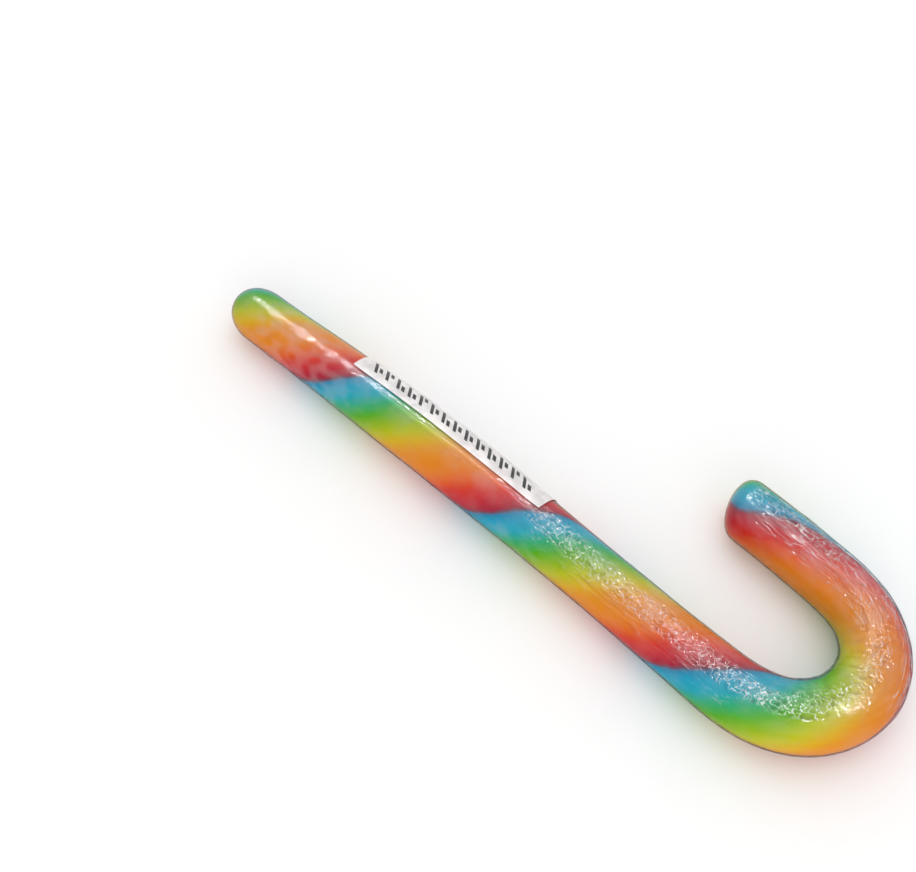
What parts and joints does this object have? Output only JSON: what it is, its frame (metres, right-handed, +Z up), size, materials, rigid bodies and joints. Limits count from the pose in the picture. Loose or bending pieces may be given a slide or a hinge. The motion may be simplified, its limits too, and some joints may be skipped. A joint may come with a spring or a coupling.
{
  "type": "candy cane",
  "caption": "Rainbow-striped candy cane in skin-tight clear film, with a plain label strip on its shaft, lying on its side.",
  "frame": {"origin": "under the middle of the cane's box, on the surface it lies on", "axes": "+X along the shaft towards the hook, +Y from the shaft towards the hook's tip, +Z up, through the cane's thickness"},
  "size_m": [0.1512, 0.0442, 0.0129],
  "materials": {
    "candy": "boiled sugar in a slow helix of blue, green, yellow, orange and red, satin under its film",
    "film": "clear shrunk film, glossy, with fine creases and small air cells",
    "label": "thin white strip that lets a little of the candy's colour through, with plain dark marks"
  },
  "bodies": {
    "root": {"candy_cane": "candy", "label_strip": "label"}
  },
  "joints": []
}
